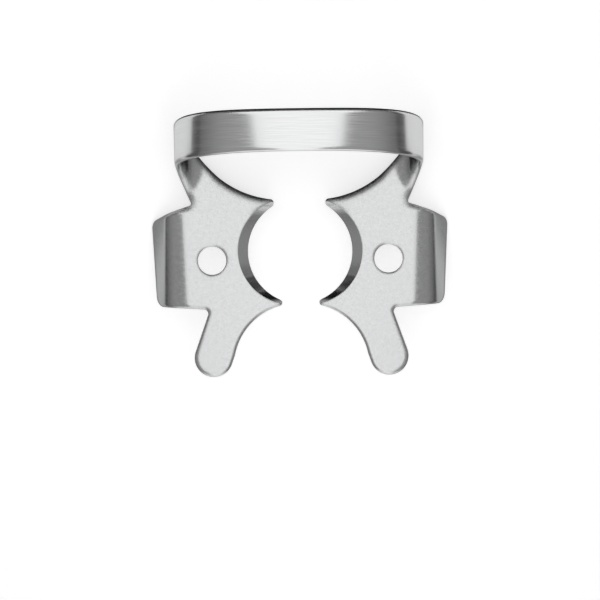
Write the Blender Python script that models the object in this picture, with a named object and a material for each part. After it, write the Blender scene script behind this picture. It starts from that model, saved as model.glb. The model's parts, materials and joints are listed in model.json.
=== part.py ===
"""Rubber dam clamp for a molar: one sheet of spring steel, stamped to a flat blank and bent.

The right half of the blank is drawn flat, given its thickness and rounded edges, and bent: the
wing down at its fold, the strip up and over into the bow. A mirror makes the left half. Then the
tooth's bite and the forceps holes are cut. Everything is drawn with the jaw plates level, +Y
towards the bow, and an empty lays the finished clamp back on its wings and heels, as it rests.
"""

import math

import bmesh
import bpy
from mathutils import Matrix, Vector

# Sheet
SHEET_THICKNESS = 0.00070
EDGE_ROUND = 0.00029

# Bite: the ground hollow that grips the tooth, wider on the upper face than on the lower one
BITE_RADIUS = 0.00538
BITE_TOP_X = 0.00097
BITE_SLOPE_RUN = 0.00103

# Prongs, as the blunt ends of the plate beside the bite
DISTAL_PRONG_X = 0.00266
DISTAL_PRONG_Y = 0.00530
MESIAL_PRONG_X = 0.00186
MESIAL_PRONG_Y = -0.00552
PRONG_CORNER_RADIUS = 0.00035

# Finger: the long tab at the front of each jaw
FINGER_END_X = 0.00895
FINGER_END_Y = -0.01078
FINGER_END_RADIUS = 0.00197
FINGER_LEAN = math.radians(19.5)
FINGER_HOLLOW_RADIUS = 0.00640
FINGER_STRAIGHT = 0.00100

# Wing: the flap that holds the rubber sheet
WING_FOLD_X = 0.01131
WING_FOLD_RADIUS = 0.00290
WING_FOLD_ANGLE = math.radians(53)
WING_REACH = 0.00492
WING_TAPER = 0.00075
WING_DISTAL_Y = 0.00320
WING_MESIAL_Y = -0.00548
WING_DISTAL_RADIUS = 0.00090
WING_MESIAL_RADIUS = 0.00120
WING_NOTCH_RADIUS = 0.00045
WING_NOTCH_DEPTH = 0.00040

# Forceps hole
HOLE_X = 0.00900
HOLE_Y = -0.00087
HOLE_DIAMETER = 0.00288
HOLE_RIM = 0.00014

# Neck: where the strip leaves the plate, tight at the mesial edge and wide at the distal one
NECK_MESIAL_X = 0.01120
NECK_MESIAL_Y = 0.00530
NECK_DISTAL_X = 0.00815
NECK_DISTAL_Y = 0.00755
NECK_MESIAL_HEADING = math.radians(66)
NECK_DISTAL_HEADING = math.radians(41)
NECK_MESIAL_PULL = 0.00150
NECK_DISTAL_PULL = 0.00270
NECK_NOTCH_RADIUS = 0.00025
NECK_NOTCH_DEPTH = 0.00050
DISTAL_HOLLOW_RADIUS = 0.01020

# Bow: a slightly conical arch over both jaws, wider and higher at its distal edge
BOW_HALF_WIDTH = 0.01230
BOW_WAIST_HEIGHT = 0.00405
BOW_RISE = 0.00963
BOW_SIDE_FLARE = 0.00004
BOW_TOP_FLARE = 0.00044
BOW_MESIAL_Y = 0.00997
BOW_STRIP_WIDTH = 0.00430
MESIAL_SWEEP = 0.00117
MESIAL_SWEEP_POWER = 1.2
DISTAL_SWEEP = 0.00125
DISTAL_SWEEP_POWER = 1.9

# Steps of the curves
NECK_ROWS = 12
BOW_ROWS = 30
STRIP_COLUMNS = 3
FOLD_STEPS = 7
ROUND_STEPS = 3
CORNER_STEPS = 6
LONG_ARC_STEPS = 12
BITE_STEPS = 40
HOLE_STEPS = 32

NECK_MESIAL = Vector((NECK_MESIAL_X, NECK_MESIAL_Y))
NECK_DISTAL = Vector((NECK_DISTAL_X, NECK_DISTAL_Y))
STRIP_HEADING = (NECK_MESIAL_HEADING + NECK_DISTAL_HEADING) / 2
HALF_SHEET = SHEET_THICKNESS / 2
NECK_LENGTH = BOW_WAIST_HEIGHT + BOW_STRIP_WIDTH / 2
BOW_LENGTH = (BOW_HALF_WIDTH + BOW_RISE) / 2 * math.pi / 2
STRIP_LENGTH = NECK_LENGTH + BOW_LENGTH
TINY = 1e-7
SMALL_STEP = 1e-5


def heading(angle):
    return Vector((math.cos(angle), math.sin(angle)))


def clear_scene():
    for item in list(bpy.data.objects):
        bpy.data.objects.remove(item, do_unlink=True)


def arc(centre, radius, start, end, steps):
    """Points from the start angle to the end angle, both included."""
    return [centre + radius * heading(start + (end - start) * i / steps) for i in range(steps + 1)]


def arc_through(first, last, radius, steps):
    """An arc between two points that bulges to the right of the way from first to last."""
    way = last - first
    half = way.length / 2
    side = Vector((way.y, -way.x)).normalized()
    centre = (first + last) / 2 - side * math.sqrt(radius**2 - half**2)
    start = math.atan2(first.y - centre.y, first.x - centre.x)
    turn = 2 * math.asin(half / radius)
    return arc(centre, radius, start, start + turn, steps)


def rounded_corner(before, corner, after, radius):
    """The corner of an outline as an arc that touches both of its sides."""
    back = (before - corner).normalized()
    on = (after - corner).normalized()
    half = back.angle(on) / 2
    centre = corner + (back + on).normalized() * radius / math.sin(half)
    first = corner + back * radius / math.tan(half)
    last = corner + on * radius / math.tan(half)
    start = math.atan2(first.y - centre.y, first.x - centre.x)
    end = math.atan2(last.y - centre.y, last.x - centre.x)
    turn = (end - start + math.pi) % (2 * math.pi) - math.pi
    return arc(centre, radius, start, start + turn, CORNER_STEPS)


def plate_outline():
    """The flat jaw and wing of the right half, anticlockwise, starting at the distal end of the neck."""
    distal_prong = Vector((DISTAL_PRONG_X, DISTAL_PRONG_Y))
    mesial_prong = Vector((MESIAL_PRONG_X, MESIAL_PRONG_Y))
    finger_end = Vector((FINGER_END_X, FINGER_END_Y))
    inward = heading(math.pi + FINGER_LEAN)
    finger_inner = finger_end + FINGER_END_RADIUS * inward
    finger_outer = finger_end - FINGER_END_RADIUS * inward
    wing_distal = Vector((WING_FOLD_X + WING_REACH, WING_DISTAL_Y))
    wing_mesial = Vector((WING_FOLD_X + WING_REACH - WING_TAPER, WING_MESIAL_Y))
    finger_side = heading(math.pi / 2 + FINGER_LEAN)
    reach = (WING_MESIAL_Y - WING_NOTCH_DEPTH - finger_outer.y) / finger_side.y
    wing_notch = finger_outer + finger_side * reach
    hollow_start = finger_inner + finger_side * FINGER_STRAIGHT

    outline = arc_through(distal_prong, NECK_DISTAL, DISTAL_HOLLOW_RADIUS, LONG_ARC_STEPS)[:0:-1]
    outline += rounded_corner(outline[-1], distal_prong, mesial_prong, PRONG_CORNER_RADIUS)
    hollow = arc_through(hollow_start, mesial_prong, FINGER_HOLLOW_RADIUS, LONG_ARC_STEPS)[::-1]
    outline += rounded_corner(distal_prong, mesial_prong, hollow[1], PRONG_CORNER_RADIUS)
    outline += hollow[2:]
    start = math.atan2(inward.y, inward.x)
    outline += arc(finger_end, FINGER_END_RADIUS, start, start + math.pi, 2 * LONG_ARC_STEPS)
    outline += rounded_corner(finger_outer, wing_notch, wing_mesial, WING_NOTCH_RADIUS)
    outline += rounded_corner(wing_notch, wing_mesial, wing_distal, WING_MESIAL_RADIUS)
    notch = NECK_MESIAL - heading(NECK_MESIAL_HEADING) * NECK_NOTCH_DEPTH
    outline += rounded_corner(wing_mesial, wing_distal, notch, WING_DISTAL_RADIUS)
    outline += rounded_corner(wing_distal, notch, NECK_MESIAL, NECK_NOTCH_RADIUS)
    return outline


def flat_strip(along, across):
    """The blank's strip runs on from the neck; across goes from 0 at the mesial edge to 1 at the distal one."""
    return NECK_MESIAL.lerp(NECK_DISTAL, across) + heading(STRIP_HEADING) * along


def strip_place(flat):
    """The place along and across the strip of a point of the blank."""
    row = NECK_DISTAL - NECK_MESIAL
    way = heading(STRIP_HEADING)
    offset = flat - NECK_MESIAL
    area = row.x * way.y - row.y * way.x
    across = (offset.x * way.y - offset.y * way.x) / area
    along = (row.x * offset.y - row.y * offset.x) / area
    return along, across


def bezier(points, t):
    a, b, c, d = points
    u = 1 - t
    return a * u**3 + b * 3 * u * u * t + c * 3 * u * t * t + d * t**3


def bow_edge(angle, half_width, rise, apex_y, sweep, power):
    """One edge of the arch, from the waist at angle 0 to the apex at a right angle."""
    height = math.sin(angle)
    return Vector((
        half_width * math.cos(angle),
        apex_y - sweep * (1 - height) ** power,
        BOW_WAIST_HEIGHT + rise * height,
    ))


def neck_edge(start, way, pull, half_width, rise, apex_y, sweep, power, t):
    """One edge of the neck, from the level plate to the waist of the bow."""
    waist = bow_edge(0, half_width, rise, apex_y, sweep, power)
    up = Vector((0, sweep * power, rise)).normalized()
    first = start.to_3d()
    return bezier((first, first + heading(way).to_3d() * pull, waist - up * pull, waist), t)


def strip_middle(along, across):
    """The middle of the sheet at a place of the bent strip: ruled between its two edges."""
    mesial = (BOW_HALF_WIDTH, BOW_RISE, BOW_MESIAL_Y, MESIAL_SWEEP, MESIAL_SWEEP_POWER)
    distal = (
        BOW_HALF_WIDTH + BOW_SIDE_FLARE, BOW_RISE + BOW_TOP_FLARE,
        BOW_MESIAL_Y + BOW_STRIP_WIDTH, DISTAL_SWEEP, DISTAL_SWEEP_POWER,
    )
    if along < NECK_LENGTH:
        t = along / NECK_LENGTH
        first = neck_edge(NECK_MESIAL, NECK_MESIAL_HEADING, NECK_MESIAL_PULL, *mesial, t)
        last = neck_edge(NECK_DISTAL, NECK_DISTAL_HEADING, NECK_DISTAL_PULL, *distal, t)
    else:
        angle = (along - NECK_LENGTH) / BOW_LENGTH * math.pi / 2
        first = bow_edge(angle, *mesial)
        last = bow_edge(angle, *distal)
    return first.lerp(last, across)


def bend_strip(along, across, height):
    run = strip_middle(along + SMALL_STEP, across) - strip_middle(along - SMALL_STEP, across)
    rule = strip_middle(along, 1) - strip_middle(along, 0)
    bent = strip_middle(along, across) + run.cross(rule).normalized() * height
    if along > STRIP_LENGTH - TINY:
        bent.x = 0
    return bent


def bend_wing(point):
    """Turns what lies past the fold down round it."""
    past = point.x - WING_FOLD_X
    angle = min(past / WING_FOLD_RADIUS, WING_FOLD_ANGLE)
    straight = past - angle * WING_FOLD_RADIUS
    out = WING_FOLD_RADIUS + point.z
    return Vector((
        WING_FOLD_X + out * math.sin(angle) + straight * math.cos(angle),
        point.y,
        out * math.cos(angle) - WING_FOLD_RADIUS - straight * math.sin(angle),
    ))


def bend(point):
    along, across = strip_place(point.xy)
    if along > TINY and abs(across - 0.5) < 0.5 + SMALL_STEP / BOW_STRIP_WIDTH:
        return bend_strip(along, across, point.z)
    if point.x > WING_FOLD_X:
        return bend_wing(point)
    return point


def flat_blank():
    """The right half of the blank as one flat sheet of faces at the sheet's lower side."""
    blank = bmesh.new()
    low = -HALF_SHEET
    rows = []
    for i in range(NECK_ROWS + BOW_ROWS + 1):
        if i <= NECK_ROWS:
            along = NECK_LENGTH * i / NECK_ROWS
        else:
            along = NECK_LENGTH + BOW_LENGTH * (i - NECK_ROWS) / BOW_ROWS
        flat = [flat_strip(along, j / STRIP_COLUMNS) for j in range(STRIP_COLUMNS + 1)]
        rows.append([blank.verts.new((p.x, p.y, low)) for p in flat])
    for row, beyond in zip(rows, rows[1:]):
        for j in range(STRIP_COLUMNS):
            blank.faces.new((row[j], beyond[j], beyond[j + 1], row[j + 1]))

    outline = [blank.verts.new((p.x, p.y, low)) for p in plate_outline()[1:]]
    plate = blank.faces.new(outline + rows[0])
    fold = [WING_FOLD_RADIUS * WING_FOLD_ANGLE * i / FOLD_STEPS for i in range(FOLD_STEPS + 1)]
    wing = [plate]
    for past in fold:
        around = wing + list({e for f in wing for e in f.edges}) + list({v for f in wing for v in f.verts})
        line = WING_FOLD_X + past
        cut = bmesh.ops.bisect_plane(blank, geom=around, plane_co=(line, 0, 0), plane_no=(1, 0, 0))
        faces = {g for g in cut["geom"] if isinstance(g, bmesh.types.BMFace)}
        wing = [f for f in faces if f.calc_center_median().x > line]
    bmesh.ops.recalc_face_normals(blank, faces=blank.faces)
    return blank


def thicken(blank):
    """Gives the blank its thickness and rounds its edges. The strip stays open where the mirror joins it."""
    grown = bmesh.ops.extrude_face_region(blank, geom=list(blank.faces), use_keep_orig=True)
    upper = [g for g in grown["geom"] if isinstance(g, bmesh.types.BMVert)]
    bmesh.ops.translate(blank, verts=upper, vec=(0, 0, SHEET_THICKNESS))
    ends = [f for f in blank.faces if all(strip_place(v.co.xy)[0] > STRIP_LENGTH - TINY for v in f.verts)]
    bmesh.ops.delete(blank, geom=ends, context="FACES")
    bmesh.ops.recalc_face_normals(blank, faces=blank.faces)
    rim = [
        e for e in blank.edges
        if len(e.link_faces) == 2 and sum(abs(f.normal.z) > 0.5 for f in e.link_faces) == 1
    ]
    bmesh.ops.bevel(
        blank, geom=rim, offset=EDGE_ROUND, segments=ROUND_STEPS, profile=0.5,
        affect="EDGES", offset_type="OFFSET", loop_slide=True, clamp_overlap=False,
    )


def steel():
    material = bpy.data.materials.new("spring_steel")
    material.use_nodes = True
    shader = material.node_tree.nodes["Principled BSDF"]
    shader.inputs["Base Color"].default_value = (0.62, 0.62, 0.63, 1)
    shader.inputs["Metallic"].default_value = 1.0
    shader.inputs["Roughness"].default_value = 0.28
    material.diffuse_color = (0.62, 0.62, 0.63, 1)
    return material


def add_object(name, shape, parent):
    mesh = bpy.data.meshes.new(name)
    bmesh.ops.recalc_face_normals(shape, faces=shape.faces)
    shape.to_mesh(mesh)
    shape.free()
    item = bpy.data.objects.new(name, mesh)
    bpy.context.scene.collection.objects.link(item)
    item.parent = parent
    return item


def add_mirror(item):
    mirror = item.modifiers.new("other half", "MIRROR")
    mirror.use_axis = (True, False, False)
    mirror.merge_threshold = 1e-6


def prism(lower, upper):
    """A closed solid between two outlines of as many points each."""
    shape = bmesh.new()
    bottom = [shape.verts.new(p) for p in lower]
    top = [shape.verts.new(p) for p in upper]
    shape.faces.new(bottom[::-1])
    shape.faces.new(top)
    for i in range(len(bottom)):
        k = (i + 1) % len(bottom)
        shape.faces.new((bottom[i], bottom[k], top[k], top[i]))
    return shape


def bite_cutter(parent):
    """The slanted hollow of the right jaw: its circle moves inwards from the upper face to the lower one."""
    beyond = SHEET_THICKNESS
    half_turn = math.acos(BITE_TOP_X / BITE_RADIUS)
    outlines = []
    for z in (-HALF_SHEET - beyond, HALF_SHEET + beyond):
        centre_x = BITE_TOP_X + BITE_SLOPE_RUN * (z - HALF_SHEET) / SHEET_THICKNESS
        circle = arc(Vector((centre_x, 0)), BITE_RADIUS, -half_turn, half_turn, BITE_STEPS)
        outlines.append([(p.x, p.y, z) for p in circle])
    cutter = add_object("bite_cutter", prism(*outlines), parent)
    add_mirror(cutter)
    return cutter


def hole_cutter(parent):
    """A pin with a flared end at each face, which eases the rims of the forceps hole."""
    radius = HOLE_DIAMETER / 2
    beyond = HALF_SHEET + HOLE_RIM
    profile = [
        (radius + 2 * HOLE_RIM, -beyond), (radius, HOLE_RIM - HALF_SHEET),
        (radius, HALF_SHEET - HOLE_RIM), (radius + 2 * HOLE_RIM, beyond),
    ]
    shape = bmesh.new()
    rings = []
    for r, z in profile:
        ring = arc(Vector((HOLE_X, HOLE_Y)), r, 0, 2 * math.pi, HOLE_STEPS)[:-1]
        rings.append([shape.verts.new((p.x, p.y, z)) for p in ring])
    shape.faces.new(rings[0][::-1])
    shape.faces.new(rings[-1])
    for ring, above in zip(rings, rings[1:]):
        for i in range(HOLE_STEPS):
            k = (i + 1) % HOLE_STEPS
            shape.faces.new((ring[i], ring[k], above[k], above[i]))
    cutter = add_object("hole_cutter", shape, parent)
    add_mirror(cutter)
    return cutter


def cut_with(item, cutter):
    cutter.hide_render = True
    cutter.display_type = "WIRE"
    cut = item.modifiers.new(cutter.name, "BOOLEAN")
    cut.operation = "DIFFERENCE"
    cut.object = cutter


def lay_at_rest(points, frame):
    """Tips the clamp back from its wings until its heels touch too, and centres its box on the origin."""
    pivot = min(points, key=lambda p: (round(p.z, 7), -p.y))
    behind = [p for p in points if p.y > pivot.y + SHEET_THICKNESS]
    tip = min(math.atan2(p.z - pivot.z, p.y - pivot.y) for p in behind)
    turned = [Matrix.Rotation(-tip, 3, "X") @ p for p in points]
    middle = (min(p.y for p in turned) + max(p.y for p in turned)) / 2
    frame.rotation_euler = (-tip, 0, 0)
    frame.location = (0, -middle, -min(p.z for p in turned))


def main():
    clear_scene()
    frame = bpy.data.objects.new("rest_frame", None)
    bpy.context.scene.collection.objects.link(frame)

    blank = flat_blank()
    thicken(blank)
    bmesh.ops.triangulate(blank, faces=blank.faces)
    for vert in blank.verts:
        vert.co = bend(vert.co.copy())
    lay_at_rest([v.co.copy() for v in blank.verts], frame)

    clamp = add_object("clamp", blank, frame)
    add_mirror(clamp)
    cut_with(clamp, bite_cutter(frame))
    cut_with(clamp, hole_cutter(frame))
    clamp.data.materials.append(steel())
    clamp.data.shade_smooth()
    clamp.data.set_sharp_from_angle(angle=math.radians(35))


main()
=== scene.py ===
# %% [markdown]
# # A rubber dam clamp, from a flat blank to polished spring steel
#
# A dentist spreads this clamp over a molar, and it holds a sheet of rubber in place round the tooth.
# The real one is stamped from one sheet of spring steel, bent, ground at the bite and polished. This
# lesson goes much the same way, but rounds the edges and cuts the bite while the blank is still flat,
# which is easier. Then come the bends, and last the finishes, the light and the camera.

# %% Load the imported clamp
import json
import math

import bmesh
import bpy
from mathutils import Matrix, Vector


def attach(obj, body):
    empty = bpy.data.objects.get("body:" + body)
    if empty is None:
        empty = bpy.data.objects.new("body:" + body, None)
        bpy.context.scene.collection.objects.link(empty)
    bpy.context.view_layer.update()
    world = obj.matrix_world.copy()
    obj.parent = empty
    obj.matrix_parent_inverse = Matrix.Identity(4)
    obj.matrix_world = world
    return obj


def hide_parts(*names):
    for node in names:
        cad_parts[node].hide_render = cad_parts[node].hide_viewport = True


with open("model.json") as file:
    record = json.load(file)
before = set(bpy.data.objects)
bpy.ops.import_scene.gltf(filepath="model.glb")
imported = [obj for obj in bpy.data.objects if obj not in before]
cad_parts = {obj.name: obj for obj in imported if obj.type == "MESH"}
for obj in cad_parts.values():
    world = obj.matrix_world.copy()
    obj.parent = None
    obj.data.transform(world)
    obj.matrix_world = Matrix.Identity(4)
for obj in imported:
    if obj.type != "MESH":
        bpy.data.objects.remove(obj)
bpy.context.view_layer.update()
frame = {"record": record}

# %% [markdown]
# ## Where the jaws lie
#
# The solid stands on the tips of its wings and leans back towards its bow, so its flat jaws are tipped.
# All the shapes are easier to draw with the jaws level, with +Y towards the bow. The record states a point
# and the upward direction of the right jaw's face, and these two give the turn and the shift from the
# level drawing to the clamp as it lies. The finished clamp could be turned by hand, but one matrix, worked
# out from the record, carries it there exactly, and the lamp and the camera too.

# %% The level drawing's place
MM = 0.001
TINY = 0.001 * MM
SHEET = 0.70 * MM

jaw_face = next(m for m in frame["record"]["mounts"] if m["name"] == "right_jaw_face")
JAW_POINT = Vector((8.5, 3.6, 0.35)) * MM
face_up = Vector(jaw_face["axis"])
tip = math.atan2(face_up.y, face_up.z)
turn = Matrix.Rotation(-tip, 4, "X")
rest = Matrix.Translation(Vector(jaw_face["pos_m"]) - turn @ JAW_POINT) @ turn
print("the jaws are tipped by", round(math.degrees(tip), 2), "degrees")

# %% [markdown]
# ## Small drawing helpers
#
# The outline of the blank is made of straight sides, arcs and rounded corners. It could be traced with
# the mouse, but then no size could be changed later. Three short functions draw all of it as rows of
# points: an arc round a centre, a hollow between two points, and a corner rounded by an arc that
# touches both of its sides.

# %% Arcs and rounded corners


def heading(angle):
    """The direction at this angle from +X, on the flat sheet."""
    return Vector((math.cos(angle), math.sin(angle)))


def arc(centre, radius, start, end, steps):
    return [centre + radius * heading(start + (end - start) * i / steps) for i in range(steps + 1)]


def hollow_between(first, last, radius, steps):
    """An arc between two points that bulges to the right of the way from first to last."""
    way = last - first
    half = way.length / 2
    side = Vector((way.y, -way.x)).normalized()
    centre = (first + last) / 2 - side * math.sqrt(radius**2 - half**2)
    start = math.atan2(first.y - centre.y, first.x - centre.x)
    return arc(centre, radius, start, start + 2 * math.asin(half / radius), steps)


def rounded_corner(before, corner, after, radius, steps=14):
    """The arc that rounds a corner, on the way from before to after."""
    back = (before - corner).normalized()
    on = (after - corner).normalized()
    half = back.angle(on) / 2
    centre = corner + (back + on).normalized() * radius / math.sin(half)
    first = corner + back * radius / math.tan(half)
    last = corner + on * radius / math.tan(half)
    start = math.atan2(first.y - centre.y, first.x - centre.x)
    end = math.atan2(last.y - centre.y, last.x - centre.x)
    turned = (end - start + math.pi) % (2 * math.pi) - math.pi
    return arc(centre, radius, start, start + turned, steps)


# %% [markdown]
# ## The outline of one jaw
#
# Only the right half is drawn, because the left one is its mirror image. The line runs anticlockwise
# from the distal end of the neck: the wide hollow behind the jaw, the two prongs that will stand beside
# the bite, the long finger at the front, the wing, and the small notch at the neck. These are the same
# sizes as in the solid, with finer steps, so that the polished edges stay smooth up close.

# %% Sizes and outline of the right jaw
DISTAL_PRONG = Vector((2.66, 5.30)) * MM
MESIAL_PRONG = Vector((1.86, -5.52)) * MM
FINGER_END = Vector((8.95, -10.78)) * MM
FINGER_RADIUS = 1.97 * MM
FINGER_LEAN = math.radians(19.5)
DISTAL_HOLLOW_RADIUS = 10.20 * MM
MESIAL_HOLLOW_RADIUS = 6.40 * MM
PRONG_ROUND = 0.35 * MM
FOLD_X = 11.31 * MM
FOLD_RADIUS = 2.90 * MM
FOLD_ANGLE = math.radians(53)
WING_TIP = FOLD_X + 4.92 * MM
WING_TAPER = 0.75 * MM
WING_DISTAL_Y = 3.20 * MM
WING_MESIAL_Y = -5.48 * MM
WING_DISTAL_ROUND = 0.90 * MM
WING_MESIAL_ROUND = 1.20 * MM
FINGER_NOTCH_DEPTH = 0.40 * MM
FINGER_NOTCH_ROUND = 0.45 * MM
NECK_NOTCH_DEPTH = 0.50 * MM
NECK_NOTCH_ROUND = 0.25 * MM
NECK_MESIAL = Vector((11.20, 5.30)) * MM
NECK_DISTAL = Vector((8.15, 7.55)) * MM
MESIAL_WAY = math.radians(66)
DISTAL_WAY = math.radians(41)
STRIP_WAY = (MESIAL_WAY + DISTAL_WAY) / 2
HOLLOW_STEPS = 40
FINGER_STEPS = 60

# Across the strip, the first and last columns are wider than the rounding that the rim takes from them.
COLUMNS = (0, 0.13, 0.25, 0.375, 0.5, 0.625, 0.75, 0.87, 1)


def jaw_outline():
    """The points round the right jaw, from the distal end of the neck to the same place."""
    inward = heading(math.pi + FINGER_LEAN)
    up_the_finger = heading(math.pi / 2 + FINGER_LEAN)
    inner = FINGER_END + FINGER_RADIUS * inward
    outer = FINGER_END - FINGER_RADIUS * inward
    wing_distal = Vector((WING_TIP, WING_DISTAL_Y))
    wing_mesial = Vector((WING_TIP - WING_TAPER, WING_MESIAL_Y))
    finger_notch = outer + up_the_finger * (wing_mesial.y - FINGER_NOTCH_DEPTH - outer.y) / up_the_finger.y
    neck_notch = NECK_MESIAL - heading(MESIAL_WAY) * NECK_NOTCH_DEPTH

    # Each hollow stops a few points short of its prong, where the rounding of the tip takes over.
    line = hollow_between(DISTAL_PRONG, NECK_DISTAL, DISTAL_HOLLOW_RADIUS, HOLLOW_STEPS)[:1:-1]
    line += rounded_corner(line[-1], DISTAL_PRONG, MESIAL_PRONG, PRONG_ROUND)
    hollow = hollow_between(inner + up_the_finger * MM, MESIAL_PRONG, MESIAL_HOLLOW_RADIUS, HOLLOW_STEPS)
    hollow.reverse()
    line += rounded_corner(DISTAL_PRONG, MESIAL_PRONG, hollow[2], PRONG_ROUND)
    line += hollow[4:]
    line += arc(FINGER_END, FINGER_RADIUS, math.pi + FINGER_LEAN, 2 * math.pi + FINGER_LEAN, FINGER_STEPS)
    line += rounded_corner(outer, finger_notch, wing_mesial, FINGER_NOTCH_ROUND)
    line += rounded_corner(finger_notch, wing_mesial, wing_distal, WING_MESIAL_ROUND)
    line += rounded_corner(wing_mesial, wing_distal, neck_notch, WING_DISTAL_ROUND)
    line += rounded_corner(wing_distal, neck_notch, NECK_MESIAL, NECK_NOTCH_ROUND)
    line += [NECK_MESIAL.lerp(NECK_DISTAL, across) for across in COLUMNS[:-1]]
    return line[1:] + [NECK_DISTAL]


outline = jaw_outline()
print("outline points:", len(outline))

# %% [markdown]
# ## The flat blank
#
# A press stamps the blank out of a steel sheet. A filled circle is added with as many points as the
# outline, and each point moves to its place on the line: that is the jaw. Extruding its edges side by
# side would give the same face with more work. The strip that will become the bow is a grid, because it
# bends along its whole length and needs rows to bend at. Both are joined and their common row is merged.

# %% Cut the blank from the sheet
NECK_LENGTH = 6.20 * MM
BOW_LENGTH = 17.27 * MM
STRIP_LENGTH = NECK_LENGTH + BOW_LENGTH
NECK_ROWS = 56
BOW_ROWS = 96


def only(obj):
    """Leaves obj alone selected and active, so that an operator works on nothing else."""
    bpy.ops.object.select_all(action="DESELECT")
    obj.select_set(True)
    bpy.context.view_layer.objects.active = obj


def edit_all(obj):
    """Goes to edit mode with all of obj selected."""
    only(obj)
    bpy.ops.object.mode_set(mode="EDIT")
    bpy.ops.mesh.select_all(action="SELECT")


def leave_edit():
    bpy.ops.object.mode_set(mode="OBJECT")


bpy.ops.object.select_all(action="DESELECT")
bpy.ops.mesh.primitive_circle_add(vertices=len(outline), radius=MM, fill_type="NGON")
jaw = bpy.context.object
jaw.name = "clamp_steel"
for vert, place in zip(jaw.data.vertices, outline):
    vert.co = place.to_3d()

row_steps = [NECK_LENGTH * i / NECK_ROWS for i in range(NECK_ROWS)]
row_steps += [NECK_LENGTH + BOW_LENGTH * i / BOW_ROWS for i in range(BOW_ROWS + 1)]
bpy.ops.object.select_all(action="DESELECT")
bpy.ops.mesh.primitive_grid_add(x_subdivisions=len(COLUMNS) - 1, y_subdivisions=len(row_steps) - 1)
strip = bpy.context.object
places = [
    NECK_MESIAL.lerp(NECK_DISTAL, across) + heading(STRIP_WAY) * along
    for along in row_steps
    for across in COLUMNS
]
for vert, place in zip(strip.data.vertices, places):
    vert.co = place.to_3d()

only(jaw)
strip.select_set(True)
bpy.ops.object.join()
edit_all(jaw)
bpy.ops.mesh.remove_doubles(threshold=TINY)
bpy.ops.mesh.normals_make_consistent(inside=False)
leave_edit()
print("blank:", len(jaw.data.vertices), "points,", len(jaw.data.polygons), "faces")

# %% [markdown]
# ## Thickness and tumbled edges
#
# A Solidify modifier grows the sheet equally to both sides of the drawing. Real clamps are tumbled
# until no sharp edge is left to tear the rubber, so both edges of the rim get a wide bevel and the rim
# becomes almost half round. A Bevel modifier that goes by the angle of an edge would round the end of
# the strip too. The operator works on chosen edges, and that end stays square: the halves meet there.

# %% Thicken the sheet and round its rim
EDGE_ROUND = 0.29 * MM
RIM_STEPS = 6
ROW_MARGIN = 0.1 * TINY
SIDE_MARGIN = 0.01


def strip_place(flat):
    """How far along the strip a point of the blank is, and how far across: 0 mesial, 1 distal."""
    row = NECK_DISTAL - NECK_MESIAL
    way = heading(STRIP_WAY)
    offset = flat - NECK_MESIAL
    area = row.x * way.y - row.y * way.x
    return (row.x * offset.y - row.y * offset.x) / area, (offset.x * way.y - offset.y * way.x) / area


def in_strip(flat):
    along, across = strip_place(flat)
    return along > ROW_MARGIN and -SIDE_MARGIN < across < 1 + SIDE_MARGIN


def add_modifier(obj, kind, **values):
    """Adds a modifier with these settings and applies it."""
    only(obj)
    modifier = obj.modifiers.new(kind.lower(), kind)
    for name, value in values.items():
        setattr(modifier, name, value)
    bpy.ops.object.modifier_apply(modifier=modifier.name)


def select_where(bm, parts, test):
    """Selects the edges or faces that pass the test, and nothing else. Returns how many they are."""
    for part in (*bm.verts, *bm.edges, *bm.faces):
        part.select_set(False)
    chosen = [part for part in parts if test(part)]
    for part in chosen:
        part.select_set(True)
    return len(chosen)


def at_end(point):
    return strip_place(point.xy)[0] > STRIP_LENGTH - TINY


add_modifier(jaw, "SOLIDIFY", thickness=SHEET, offset=0)
edit_all(jaw)
bm = bmesh.from_edit_mesh(jaw.data)
bm.normal_update()
rim = select_where(
    bm,
    bm.edges,
    lambda edge: sum(abs(f.normal.z) > 0.5 for f in edge.link_faces) == 1
    and not all(at_end(v.co) for v in edge.verts),
)
bmesh.update_edit_mesh(jaw.data)
bpy.ops.mesh.bevel(offset=EDGE_ROUND, segments=RIM_STEPS, profile=0.5, loop_slide=True, clamp_overlap=False)
leave_edit()
print("rim edges rounded:", rim)

# %% [markdown]
# ## The bite and the forceps hole
#
# The bite is ground at a slant, so its circle lies further out on the upper face than on the lower
# one. Its cutter is a cylinder whose two ends are slid apart, which leaves the same slanted face as the
# grinding wheel. Drawn as a part of the outline, the bite would stand upright. The forceps hole is
# punched straight through, and its rims are eased with a small bevel.

# %% Cut the bite and the hole
BITE_RADIUS = 5.38 * MM
BITE_TOP_X = 0.97 * MM
BITE_BEVEL = 1.03 * MM
WHEEL_POINTS = 240
HOLE = Vector((9.00, -0.87, 0)) * MM
HOLE_RADIUS = 1.44 * MM
HOLE_EASE = 0.12 * MM
HOLE_EASE_STEPS = 4
PUNCH_POINTS = 96
CUTTER_HEIGHT = 4 * SHEET


def cut(obj, cutter):
    """Cuts the cutter out of obj, and gives the cut faces the cutter's material."""
    add_modifier(
        obj, "BOOLEAN", operation="DIFFERENCE", solver="EXACT", object=cutter, material_mode="TRANSFER"
    )
    bpy.data.objects.remove(cutter)


def on_hole_rim(point):
    round_hole = abs((point.xy - HOLE.xy).length - HOLE_RADIUS) < 10 * TINY
    return round_hole and abs(abs(point.z) - SHEET / 2) < TINY


def new_material(name):
    material = bpy.data.materials.new(name)
    material.use_nodes = True
    return material


sheet_steel = new_material("tumbled_spring_steel")
bite_steel = new_material("ground_bite")
hole_steel = new_material("punched_hole")
jaw.data.materials.append(sheet_steel)

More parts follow.
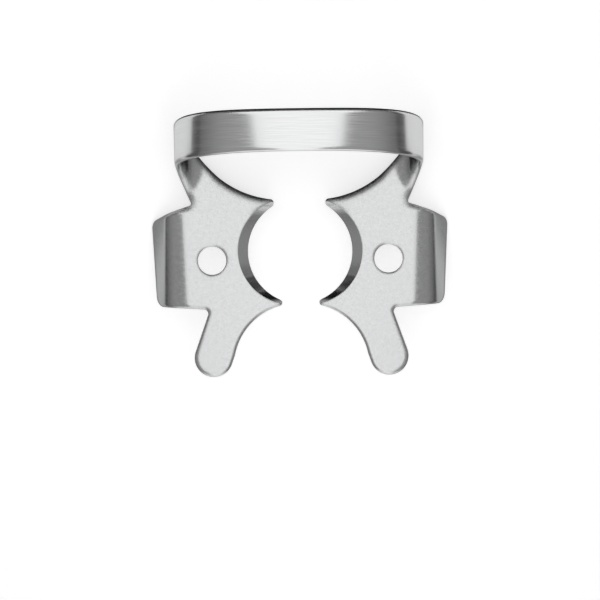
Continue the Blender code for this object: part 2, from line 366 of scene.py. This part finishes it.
bpy.ops.object.select_all(action="DESELECT")
bpy.ops.mesh.primitive_cylinder_add(vertices=WHEEL_POINTS, radius=BITE_RADIUS, depth=CUTTER_HEIGHT)
wheel = bpy.context.object
for vert in wheel.data.vertices:
    vert.co.x += BITE_TOP_X + BITE_BEVEL / SHEET * (vert.co.z - SHEET / 2)
wheel.data.materials.append(bite_steel)
cut(jaw, wheel)

bpy.ops.object.select_all(action="DESELECT")
bpy.ops.mesh.primitive_cylinder_add(
    vertices=PUNCH_POINTS, radius=HOLE_RADIUS, depth=CUTTER_HEIGHT, location=HOLE
)
punch = bpy.context.object
punch.data.materials.append(hole_steel)
cut(jaw, punch)

edit_all(jaw)
bm = bmesh.from_edit_mesh(jaw.data)
eased = select_where(bm, bm.edges, lambda edge: all(on_hole_rim(v.co) for v in edge.verts))
bmesh.update_edit_mesh(jaw.data)
bpy.ops.mesh.bevel(offset=HOLE_EASE, segments=HOLE_EASE_STEPS, profile=0.5)
leave_edit()
print("hole rim edges eased:", eased, "faces:", len(jaw.data.polygons))

# %% [markdown]
# ## Lines to fold the wing at
#
# A face can only bend where it has edges. The strip has its rows, but the wing is one large face, so it
# is cut by closely spaced parallel planes over the width of its fold. Subdividing the whole wing would
# add edges where none are needed. The cuts come after the rounding, because a line that ends near a
# rounded corner would disturb the bevel there.

# %% Cut fold lines into the wing
FOLD_LINES = 22

for i in range(FOLD_LINES + 1):
    line = FOLD_X + FOLD_RADIUS * FOLD_ANGLE * i / FOLD_LINES
    edit_all(jaw)
    bm = bmesh.from_edit_mesh(jaw.data)
    select_where(
        bm,
        bm.faces,
        lambda face: max(v.co.x for v in face.verts) > line and not in_strip(face.calc_center_median().xy),
    )
    bmesh.update_edit_mesh(jaw.data)
    bpy.ops.mesh.bisect(plane_co=(line, 0, 0), plane_no=(1, 0, 0))
    leave_edit()
print("fold lines:", FOLD_LINES + 1)

# %% [markdown]
# ## Two halves
#
# Everything so far is the same on both jaws, so the left half starts as a copy of the flat right one.
# Its steel is mirrored only after the bends, which are worked out for the right side. A Mirror modifier
# would do all of it at once, but the polishing lines would then be mirrored at the top of the bow.

# %% Copy the flat half for the left side
only(jaw)
bpy.ops.object.duplicate()
left = bpy.context.object
left.name = "left_half"
print("one half:", len(jaw.data.polygons), "faces")

# %% [markdown]
# ## The bends
#
# Bending is a rule that says where each point of the flat blank goes. Past the fold line, the wing
# winds down round a cylinder. The strip's two edges each follow a curve of their own: first a neck that
# turns up out of the jaw, tight at the mesial edge and wide at the distal one, then a quarter of an
# ellipse to the top. Straight lines join the two edge curves, as in the real sheet, which can bend but
# not bulge. A Simple Deform modifier bends both edges alike, so the rule is written out here instead.
# The distances along the blank also go into a UV map, for the polishing lines.

# %% Bend both halves
HALF_WIDTH = 12.30 * MM
WAIST_HEIGHT = 4.05 * MM
RISE = 9.63 * MM
APEX_Y = 9.97 * MM
SIDE_FLARE = 0.04 * MM
TOP_FLARE = 0.44 * MM
STRIP_WIDTH = 4.30 * MM
MESIAL_SWEEP = 1.17 * MM
DISTAL_SWEEP = 1.25 * MM
MESIAL_POWER = 1.2
DISTAL_POWER = 1.9
MESIAL_PULL = 1.50 * MM
DISTAL_PULL = 2.70 * MM

# Each edge: half its width, its rise, where its top lies, how far its foot lies in front of that, and
# how that distance shrinks on the way up.
MESIAL_EDGE = (HALF_WIDTH, RISE, APEX_Y, MESIAL_SWEEP, MESIAL_POWER)
DISTAL_EDGE = (HALF_WIDTH + SIDE_FLARE, RISE + TOP_FLARE, APEX_Y + STRIP_WIDTH, DISTAL_SWEEP, DISTAL_POWER)

# The map's units in a metre, so one unit is 20 mm of the blank.
UV_SCALE = 50.0


def bow_edge(angle, half_width, rise, apex_y, sweep, power):
    """A point of an edge of the bow. The angle is 0 at the waist and a right angle at the top."""
    height = math.sin(angle)
    y = apex_y - sweep * (1 - height) ** power
    return Vector((half_width * math.cos(angle), y, WAIST_HEIGHT + rise * height))


def neck_edge(start, way, pull, half_width, rise, apex_y, sweep, power, t):
    """A point of an edge of the neck. t is 0 at the jaw and 1 at the waist, where the bow goes on."""
    waist = bow_edge(0, half_width, rise, apex_y, sweep, power)
    up = Vector((0, sweep * power, rise)).normalized()
    first = start.to_3d()
    points = (first, first + heading(way).to_3d() * pull, waist - up * pull, waist)
    u = 1 - t
    return points[0] * u**3 + points[1] * 3 * u * u * t + points[2] * 3 * u * t * t + points[3] * t**3


def strip_middle(along, across):
    """Where a place of the strip's middle surface goes."""
    if along < NECK_LENGTH:
        t = along / NECK_LENGTH
        mesial = neck_edge(NECK_MESIAL, MESIAL_WAY, MESIAL_PULL, *MESIAL_EDGE, t)
        distal = neck_edge(NECK_DISTAL, DISTAL_WAY, DISTAL_PULL, *DISTAL_EDGE, t)
    else:
        angle = (along - NECK_LENGTH) / BOW_LENGTH * math.pi / 2
        mesial = bow_edge(angle, *MESIAL_EDGE)
        distal = bow_edge(angle, *DISTAL_EDGE)
    return mesial.lerp(distal, across)


def bend_strip(along, across, height):
    step = 10 * TINY
    run = strip_middle(along + step, across) - strip_middle(along - step, across)
    rule = strip_middle(along, 1) - strip_middle(along, 0)
    bent = strip_middle(along, across) + run.cross(rule).normalized() * height
    if along > STRIP_LENGTH - TINY:
        bent.x = 0
    return bent


def bend_wing(point):
    past = point.x - FOLD_X
    angle = min(past / FOLD_RADIUS, FOLD_ANGLE)
    straight = past - angle * FOLD_RADIUS
    out = FOLD_RADIUS + point.z
    return Vector((
        FOLD_X + out * math.sin(angle) + straight * math.cos(angle),
        point.y,
        out * math.cos(angle) - FOLD_RADIUS - straight * math.sin(angle),
    ))


def bend(point):
    if in_strip(point.xy):
        return bend_strip(*strip_place(point.xy), point.z)
    if point.x > FOLD_X:
        return bend_wing(point)
    return point


def bend_half(obj, side):
    """Opens the strip's end, notes the distances along the blank in a UV map, and bends. side is 1 or -1."""
    edit_all(obj)
    bm = bmesh.from_edit_mesh(obj.data)
    select_where(bm, bm.faces, lambda face: all(at_end(v.co) for v in face.verts))
    bmesh.update_edit_mesh(obj.data)
    bpy.ops.mesh.delete(type="FACE")
    leave_edit()
    way = heading(STRIP_WAY)
    end = NECK_MESIAL + way * STRIP_LENGTH
    layer = obj.data.uv_layers.new(name="blank")
    for loop in obj.data.loops:
        flat = (obj.data.vertices[loop.vertex_index].co.xy - end) * UV_SCALE
        layer.data[loop.index].uv = (-side * flat.dot(way), flat.x * way.y - flat.y * way.x)
    for vert in obj.data.vertices:
        vert.co = bend(vert.co.copy())
        vert.co.x *= side
    if side < 0:
        edit_all(obj)
        bpy.ops.mesh.flip_normals()
        leave_edit()


bend_half(jaw, 1)
bend_half(left, -1)
only(jaw)
left.select_set(True)
bpy.ops.object.join()
edit_all(jaw)
bpy.ops.mesh.remove_doubles(threshold=TINY / 2)
bpy.ops.mesh.select_all(action="DESELECT")
bpy.ops.mesh.select_non_manifold()
bm = bmesh.from_edit_mesh(jaw.data)
print("open edges left:", sum(e.select for e in bm.edges))
leave_edit()

# %% [markdown]
# ## Smooth shading
#
# Polished steel shows every facet, so the shading is smoothed across all but the sharp edges of the
# bite. Many more faces would hide the facets too, but slowly. The Weighted Normal modifier then lets the
# large flat faces decide the shading at their rims, so the jaws reflect like flat steel right up to the
# rounded edge.

# %% Smooth the shading and lay the clamp down
SMOOTH_ANGLE = math.radians(28)
FLAT_FACE_WEIGHT = 60

only(jaw)
bpy.ops.object.shade_smooth_by_angle(angle=SMOOTH_ANGLE, keep_sharp_edges=True)
add_modifier(jaw, "WEIGHTED_NORMAL", mode="FACE_AREA", weight=FLAT_FACE_WEIGHT, keep_sharp=True)
jaw.data.transform(rest)
jaw.data.update()
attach(jaw, "root")
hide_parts("clamp")
triangles = sum(len(face.vertices) - 2 for face in jaw.data.polygons)
print("clamp:", len(jaw.data.vertices), "points,", triangles, "triangles")

# %% [markdown]
# ## Helpers for the finishes
#
# A finish or a lamp is a small tree of nodes, which could be placed and joined by hand in the shader
# editor. Four short functions keep such trees readable in a script: one adds a node with its settings,
# one makes a smooth change from one number to another, one does a sum, and one blends two colours.

# %% Helpers for node trees


def node(tree, kind, **values):
    """Adds a node, with its settings by name and its sockets' values by number or name in a dict."""
    made = tree.nodes.new(kind)
    sockets = values.pop("sockets", {})
    for name, value in values.items():
        setattr(made, name, value)
    for name, value in sockets.items():
        made.inputs[name].default_value = value
    return made


def ramp(tree, source, low, high, at_low, at_high):
    """A number that changes smoothly from at_low to at_high as source goes from low to high."""
    made = node(
        tree, "ShaderNodeMapRange", interpolation_type="SMOOTHSTEP",
        sockets={"From Min": low, "From Max": high, "To Min": at_low, "To Max": at_high},
    )
    tree.links.new(source, made.inputs["Value"])
    return made.outputs["Result"]


def combine(tree, operation, *sources):
    """One number out of two or three others, by a Math node."""
    made = node(tree, "ShaderNodeMath", operation=operation)
    for place, source in enumerate(sources):
        if isinstance(source, (int, float)):
            made.inputs[place].default_value = source
        else:
            tree.links.new(source, made.inputs[place])
    return made.outputs[0]


def shades(tree, factor, dark, light):
    """A colour between two others, which are given as colours or as the outputs of other nodes."""
    made = node(tree, "ShaderNodeMix", data_type="RGBA")
    tree.links.new(factor, made.inputs["Factor"])
    # A Mix node has sockets for numbers, vectors and colours, and numbers 6 and 7 are its colours.
    for socket, colour in ((made.inputs[6], dark), (made.inputs[7], light)):
        if isinstance(colour, tuple):
            socket.default_value = colour
        else:
            tree.links.new(colour, socket)
    return made.outputs[2]


# %% [markdown]
# ## Satin jaws and a brushed bow
#
# All of the clamp is one steel, so its finishes are nearly the same grey and differ most in their fine
# relief. Tumbling in a barrel of stones leaves a satin: soft spots about half a millimetre wide under a
# finer grain. The bow is drawn along a polishing belt afterwards, which leaves lines along its length.
# Photographs of steel could be laid on, but noise stays sharp at any distance. The lines follow the bent
# sheet because they are made in the UV map of the flat blank, where the bow is still straight. The
# brushed bow is also a shade brighter than the satin.

# %% Tumbled and brushed steel
STEEL_COLOUR = (0.76, 0.765, 0.77, 1)
SATIN_DARK = (0.66, 0.665, 0.67, 1)
SATIN_LIGHT = (0.78, 0.785, 0.79, 1)
BRUSHED_DARK = (0.80, 0.805, 0.81, 1)
BRUSHED_LIGHT = (0.92, 0.925, 0.93, 1)
SMOOTHEST = 0.13
ROUGHEST = 0.24
SPOT_SCALE = 2600.0
SPOT_SHARE = 0.35
GRAIN_SCALE = 9500.0
BRUSH_STRETCH = (5.0, 330.0, 1.0)
RELIEF_LOW = 0.30
RELIEF_HIGH = 0.70

# How far from the bow's top, along the blank, the brushing is whole and where it ends, in the map's units.
BRUSHED_ALL = (STRIP_LENGTH - 6.0 * MM) * UV_SCALE
BRUSHED_END = (STRIP_LENGTH - 2.4 * MM) * UV_SCALE

for material in (sheet_steel, bite_steel, hole_steel):
    shader = material.node_tree.nodes["Principled BSDF"]
    shader.inputs["Base Color"].default_value = STEEL_COLOUR
    shader.inputs["Metallic"].default_value = 1.0

tree = sheet_steel.node_tree
shader = tree.nodes["Principled BSDF"]
coordinates = node(tree, "ShaderNodeTexCoord")
spots = node(tree, "ShaderNodeTexNoise", sockets={"Scale": SPOT_SCALE, "Detail": 3.0, "Roughness": 0.55})
grain = node(tree, "ShaderNodeTexNoise", sockets={"Scale": GRAIN_SCALE, "Detail": 2.0})
for texture in (spots, grain):
    tree.links.new(coordinates.outputs["Object"], texture.inputs["Vector"])

blank_map = node(tree, "ShaderNodeUVMap", uv_map="blank")
stretch = node(tree, "ShaderNodeMapping", sockets={"Scale": BRUSH_STRETCH})
lines = node(tree, "ShaderNodeTexNoise", sockets={"Scale": 1.0, "Detail": 4.0, "Roughness": 0.6})
along_blank = node(tree, "ShaderNodeSeparateXYZ")
tree.links.new(blank_map.outputs["UV"], stretch.inputs["Vector"])
tree.links.new(stretch.outputs["Vector"], lines.inputs["Vector"])
tree.links.new(blank_map.outputs["UV"], along_blank.inputs[0])
from_top = combine(tree, "ABSOLUTE", along_blank.outputs["X"])
on_bow = ramp(tree, from_top, BRUSHED_ALL, BRUSHED_END, 1, 0)

finer = combine(tree, "MULTIPLY", grain.outputs["Fac"], 1 - SPOT_SHARE)
satin = combine(tree, "MULTIPLY_ADD", spots.outputs["Fac"], SPOT_SHARE, finer)
relief = node(tree, "ShaderNodeMix", data_type="FLOAT")
tree.links.new(on_bow, relief.inputs["Factor"])
tree.links.new(satin, relief.inputs["A"])
tree.links.new(lines.outputs["Fac"], relief.inputs["B"])

roughness = ramp(tree, relief.outputs["Result"], RELIEF_LOW, RELIEF_HIGH, SMOOTHEST, ROUGHEST)
tree.links.new(roughness, shader.inputs["Roughness"])
tint = ramp(tree, relief.outputs["Result"], RELIEF_LOW, RELIEF_HIGH, 0, 1)
satin_shade = shades(tree, tint, SATIN_DARK, SATIN_LIGHT)
brushed_shade = shades(tree, tint, BRUSHED_DARK, BRUSHED_LIGHT)
tree.links.new(shades(tree, on_bow, satin_shade, brushed_shade), shader.inputs["Base Color"])
print("satin and brushed steel:", len(tree.nodes), "nodes")

# %% [markdown]
# ## Soft rims and fine relief
#
# A Bevel node softens the shading of the tumbled rims, most round the hollow behind the jaws, where the
# photograph shows the widest dark rim, and least on the bow. Rounding the mesh further would do it too,
# but it would thin the sheet's edge. A Bump node then lays the fine relief on top.

# %% Rims and relief
EDGE_SOFTNESS = 0.50 * MM
HOLLOW_SOFTNESS = 1.20 * MM
BOW_SOFTNESS = 0.30 * MM
HOLLOW_START = 0.5 * MM
HOLLOW_FULL = 1.5 * MM
RELIEF_STRENGTH = 0.20
RELIEF_DEPTH = 0.004 * MM

place = node(tree, "ShaderNodeSeparateXYZ")
tree.links.new(coordinates.outputs["Object"], place.inputs[0])
near_hollow = ramp(tree, place.outputs["Y"], HOLLOW_START, HOLLOW_FULL, EDGE_SOFTNESS, HOLLOW_SOFTNESS)
off_bow = ramp(tree, from_top, BRUSHED_ALL, BRUSHED_END, BOW_SOFTNESS, HOLLOW_SOFTNESS)
soft = node(tree, "ShaderNodeBevel", samples=8)
tree.links.new(combine(tree, "MINIMUM", near_hollow, off_bow), soft.inputs["Radius"])
bump = node(tree, "ShaderNodeBump", sockets={"Strength": RELIEF_STRENGTH, "Distance": RELIEF_DEPTH})
tree.links.new(relief.outputs["Result"], bump.inputs["Height"])
tree.links.new(soft.outputs["Normal"], bump.inputs["Normal"])
tree.links.new(bump.outputs["Normal"], shader.inputs["Normal"])
print("with rims and relief:", len(tree.nodes), "nodes")

# %% [markdown]
# ## The ground bite and the punched holes
#
# The bite is ground last and stays rougher than the rest, so that it doesn't slip on the tooth. The
# wheel's grit leaves short scratches across the narrow bevel, and the punch drags others through the
# holes. Cutting them into the mesh would take very many faces, so both are noise: turned level with the
# jaws first, then squeezed along the jaw for the bite, and in both flat directions for the holes. The
# mesial third of the bevel is much darker in the photograph, and a painted shade, a darker colour at that
# end, gives that here.

# %% Grinding and punching lines
BITE_SQUEEZE = (600.0, 9000.0, 600.0)
PUNCH_SQUEEZE = (9000.0, 9000.0, 600.0)
SCRATCH_ROUGHNESS = (0.14, 0.26)
SCRATCH_STRENGTH = 0.35
SCRATCH_DEPTH = 0.006 * MM
# Painted shade on the bite: its colour, where it ends along the jaw, and how soft its border is.
BITE_PAINTED_SHADE = (0.33, 0.33, 0.335, 1)
PAINTED_SHADE_END = -5.4 * MM
PAINTED_SHADE_BLEND = 0.3 * MM


def scratch(material, squeeze):
    """Scratches a steel with squeezed noise. Returns its node tree, shader and coordinates."""
    tree = material.node_tree
    shader = tree.nodes["Principled BSDF"]
    coordinates = node(tree, "ShaderNodeTexCoord")
    level = node(tree, "ShaderNodeMapping", sockets={"Rotation": (tip, 0, 0)})
    stretch = node(tree, "ShaderNodeMapping", sockets={"Scale": squeeze})
    scratches = node(tree, "ShaderNodeTexNoise", sockets={"Scale": 1.0, "Detail": 3.0})
    tree.links.new(coordinates.outputs["Object"], level.inputs["Vector"])
    tree.links.new(level.outputs["Vector"], stretch.inputs["Vector"])
    tree.links.new(stretch.outputs["Vector"], scratches.inputs["Vector"])
    roughness = ramp(tree, scratches.outputs["Fac"], RELIEF_LOW, RELIEF_HIGH, *SCRATCH_ROUGHNESS)
    tree.links.new(roughness, shader.inputs["Roughness"])
    bump = node(tree, "ShaderNodeBump", sockets={"Strength": SCRATCH_STRENGTH, "Distance": SCRATCH_DEPTH})
    tree.links.new(scratches.outputs["Fac"], bump.inputs["Height"])
    tree.links.new(bump.outputs["Normal"], shader.inputs["Normal"])
    return tree, shader, coordinates


scratch(hole_steel, PUNCH_SQUEEZE)
tree, shader, coordinates = scratch(bite_steel, BITE_SQUEEZE)
place = node(tree, "ShaderNodeSeparateXYZ")
tree.links.new(coordinates.outputs["Object"], place.inputs[0])
# Painted shade: the mesial end of the bite takes a darker colour.
mesial = ramp(tree, place.outputs["Y"], PAINTED_SHADE_END, PAINTED_SHADE_END + PAINTED_SHADE_BLEND, 1, 0)
tree.links.new(shades(tree, mesial, STEEL_COLOUR, BITE_PAINTED_SHADE), shader.inputs["Base Color"])
print("ground bite:", len(tree.nodes), "nodes")

# %% [markdown]
# ## A white floor
#
# Steel has hardly a look of its own: it shows what stands round it. The clamp lies on a white floor,
# which glows a little towards the camera so that it reads as white and still keeps the clamp's shadow.
# More light would whiten it too, but would also wash out the steel. Reflections see a dimmer glow,
# because the steel in the photograph is white only where it faces the lamp. The Light Path node tells
# the two kinds of ray apart.

# %% Floor
FLOOR_SIZE = 4.0
FLOOR_DROP = 0.01 * MM
FLOOR_COLOUR = (0.8, 0.8, 0.8, 1)
CAMERA_GLOW = 0.62
MIRROR_GLOW = 0.30

bpy.ops.object.select_all(action="DESELECT")
bpy.ops.mesh.primitive_plane_add(size=FLOOR_SIZE, location=(0, 0, -FLOOR_DROP))
floor = bpy.context.object
floor.name = "floor"
floor_paint = new_material("pale_floor")
floor.data.materials.append(floor_paint)
tree = floor_paint.node_tree
tree.nodes.clear()
add = node(tree, "ShaderNodeAddShader")
diffuse = node(tree, "ShaderNodeBsdfDiffuse", sockets={"Color": FLOOR_COLOUR})
glow = node(tree, "ShaderNodeEmission")
path = node(tree, "ShaderNodeLightPath")
mirror_glow = combine(tree, "MULTIPLY", path.outputs["Is Glossy Ray"], MIRROR_GLOW)
strength = combine(tree, "MULTIPLY_ADD", path.outputs["Is Camera Ray"], CAMERA_GLOW, mirror_glow)
tree.links.new(strength, glow.inputs["Strength"])
tree.links.new(diffuse.outputs[0], add.inputs[0])
tree.links.new(glow.outputs[0], add.inputs[1])
print("floor:", FLOOR_SIZE, "m square")

# %% [markdown]
# ## Painted shade on the floor, seen only in reflections
#
# A photographer lays black cards beside shiny things, to give them dark lines and a clear form. Here
# that dark is painted shade in the floor's material, which fades out at its sides and which only
# reflections see. Planes could be laid there too, but with hard borders. One patch fans out behind the
# jaws and darkens the bite and the ends of the bow. The others lie beside the wings, and the gaps between
# them make the light stretches of wing and bow.

# %% Painted shade on the floor for the reflections
FLOOR_PAINTED_SHADE = (0.03, 0.03, 0.03, 1)
FAN_SPREAD = 1.1
FAN_NECK = 9 * MM

# Each edge of a patch of painted shade: where it begins and ends, and how much of the floor is covered at
# either.
FAN_SIDES = (1 * MM, 5 * MM, 1, 0)
FAN_FRONT = (-5 * MM, -2 * MM, 0, 1)
BELOW_WING = (13 * MM, 15 * MM, 0, 1)
BESIDE_WING = (19 * MM, 24 * MM, 0.62, 0.20)
PAST_WING = (28 * MM, 33 * MM, 0, 0.90)
BEHIND_WING = (3 * MM, 7 * MM, 1, 0)
FAR_ASIDE = (44 * MM, 48 * MM, 0, 0.85)

coordinates = node(tree, "ShaderNodeTexCoord")
split = node(tree, "ShaderNodeSeparateXYZ")
tree.links.new(coordinates.outputs["Object"], split.inputs[0])
aside = combine(tree, "ABSOLUTE", split.outputs["X"])
widening = combine(tree, "MAXIMUM", split.outputs["Y"], FAN_NECK)
reach = combine(tree, "MULTIPLY_ADD", widening, -FAN_SPREAD, aside)
# Painted shade on the floor: a fan behind the jaws and patches beside the wings, which only reflections see.
fan_shade = combine(tree, "MULTIPLY", ramp(tree, reach, *FAN_SIDES), ramp(tree, split.outputs["Y"], *FAN_FRONT))
wing_shade = combine(tree, "MULTIPLY", ramp(tree, aside, *BESIDE_WING), ramp(tree, aside, *BELOW_WING))
wing_shade = combine(tree, "MAXIMUM", wing_shade, ramp(tree, aside, *PAST_WING))
wing_shade = combine(tree, "MULTIPLY", wing_shade, ramp(tree, split.outputs["Y"], *BEHIND_WING))
painted_shade = combine(tree, "MAXIMUM", combine(tree, "MAXIMUM", fan_shade, wing_shade), ramp(tree, aside, *FAR_ASIDE))
painted_shade = combine(tree, "MULTIPLY", painted_shade, path.outputs["Is Glossy Ray"])

out = node(tree, "ShaderNodeOutputMaterial")
black = node(tree, "ShaderNodeBsdfDiffuse", sockets={"Color": FLOOR_PAINTED_SHADE})
cover = node(tree, "ShaderNodeMixShader")
tree.links.new(painted_shade, cover.inputs["Fac"])
tree.links.new(add.outputs[0], cover.inputs[1])
tree.links.new(black.outputs[0], cover.inputs[2])
tree.links.new(cover.outputs[0], out.inputs["Surface"])
print("floor material:", len(tree.nodes), "nodes")

# %% [markdown]
# ## A soft box over the jaws
#
# The jaws and the middle of the bow are nearly white in the photograph, with sharp borders to the
# grey beside them. So they mirror one large lamp with straight sides. An area lamp is a plain
# rectangle, so this one is a plane that glows evenly. It is parallel to the jaws, and its sides spread
# towards the back, which sets where the bright stretch of the bow ends. The camera sees through it.

# %% Soft box
BOX_HEIGHT = 60 * MM
BOX_SIDE = 32.4 * MM
BOX_FLARE = 1.6
BOX_BACK = 35 * MM
BOX_NECK = -9.6 * MM
BOX_FRONT = -200 * MM

bpy.ops.object.select_all(action="DESELECT")
bpy.ops.mesh.primitive_grid_add(x_subdivisions=1, y_subdivisions=2, size=2)
box = bpy.context.object
box.name = "soft_box"
for vert in box.data.vertices:
    y = {-1: BOX_FRONT, 0: BOX_NECK, 1: BOX_BACK}[round(vert.co.y)]
    half = BOX_SIDE + BOX_FLARE * max(y, BOX_NECK)
    vert.co = (math.copysign(half, vert.co.x), y, BOX_HEIGHT)
box.data.transform(rest)
box.visible_camera = False
box_light = new_material("soft_box_light")
box.data.materials.append(box_light)
tree = box_light.node_tree
tree.nodes.clear()
out = node(tree, "ShaderNodeOutputMaterial")
glow = node(tree, "ShaderNodeEmission", sockets={"Color": (1, 1, 1, 1), "Strength": 1.0})
tree.links.new(glow.outputs[0], out.inputs["Surface"])
print("soft box:", round((BOX_BACK - BOX_FRONT) / MM), "mm from back to front")

# %% [markdown]
# ## The studio round the clamp
#
# The greys of the wings and of the bow's ends come from the room. A picture of a real studio could be
# laid round the clamp, but four smooth changes do: brighter above than low down, dark high up behind
# the bow, and bright low in front, where the bow's root shows it. Low down behind, it stays grey, or
# the jaws would look black from the front. The world is turned with the jaws, so that its up is at
# right angles to them. To the camera it is white, like the paper in the photograph.

# %% Studio
# Each change: between which parts of the way up or back it happens, and the light at either. The two
# behind the bow are shares of the light at the sides.
SIDES = (-0.10, 0.60, 0.15, 0.305)
HIGH_BEHIND = (0.24, 0.36, 1, 0.10)
LOW_BEHIND = (0.30, 0.50, 0.80, 0)
FRONT = (-0.62, -0.88, 0, 0.9)

world = bpy.data.worlds.new("studio")
bpy.context.scene.world = world
world.use_nodes = True
tree = world.node_tree
tree.nodes.clear()
out = node(tree, "ShaderNodeOutputWorld")
background = node(tree, "ShaderNodeBackground")
path = node(tree, "ShaderNodeLightPath")
coordinates = node(tree, "ShaderNodeTexCoord")
level = node(tree, "ShaderNodeMapping", vector_type="VECTOR", sockets={"Rotation": (tip, 0, 0)})
split = node(tree, "ShaderNodeSeparateXYZ")
tree.links.new(coordinates.outputs["Generated"], level.inputs["Vector"])
tree.links.new(level.outputs["Vector"], split.inputs[0])
high_behind = ramp(tree, split.outputs["Y"], *HIGH_BEHIND)
low_behind = ramp(tree, split.outputs["Z"], *LOW_BEHIND)
behind = combine(tree, "MAXIMUM", high_behind, low_behind)
walls = combine(tree, "MULTIPLY", ramp(tree, split.outputs["Z"], *SIDES), behind)
walls = combine(tree, "MAXIMUM", walls, ramp(tree, split.outputs["Y"], *FRONT))
walls = combine(tree, "MAXIMUM", walls, path.outputs["Is Camera Ray"])
tree.links.new(walls, background.inputs["Color"])
tree.links.new(background.outputs[0], out.inputs["Surface"])
print("world:", len(tree.nodes), "nodes")

# %% [markdown]
# ## Camera
#
# The photograph looks straight down on the jaws from far away. The camera does the same with a long
# lens, and leans with them: it is placed in the level drawing and carried over by the same matrix as
# the clamp. One pixel of the photograph is 0.102 mm at the jaws. The clamp is turned by less than a
# degree in the picture, and the camera rolls to match.

# %% Camera above the jaws
PIXEL = 0.102 * MM
PICTURE = 600
SENSOR = 36
DISTANCE = 8500 * PIXEL
ROLL = math.radians(0.8)
PICTURE_MIDDLE = Vector((-0.0855 * MM, -4.9995 * MM, SHEET / 2))
FAR_END = 10

right = Vector((math.cos(ROLL), -math.sin(ROLL), 0))
up = Vector((math.sin(ROLL), math.cos(ROLL), 0))
view = Matrix((right, up, Vector((0, 0, 1)))).transposed().to_4x4()
view.translation = PICTURE_MIDDLE + Vector((0, 0, DISTANCE))
bpy.ops.object.camera_add()
camera = bpy.context.object
camera.matrix_world = rest @ view
camera.data.sensor_width = SENSOR
camera.data.lens = SENSOR * DISTANCE / (PICTURE * PIXEL)
camera.data.clip_end = FAR_END
bpy.context.scene.camera = camera
bpy.context.scene.view_settings.view_transform = "Standard"
print("lens:", round(camera.data.lens), "mm")
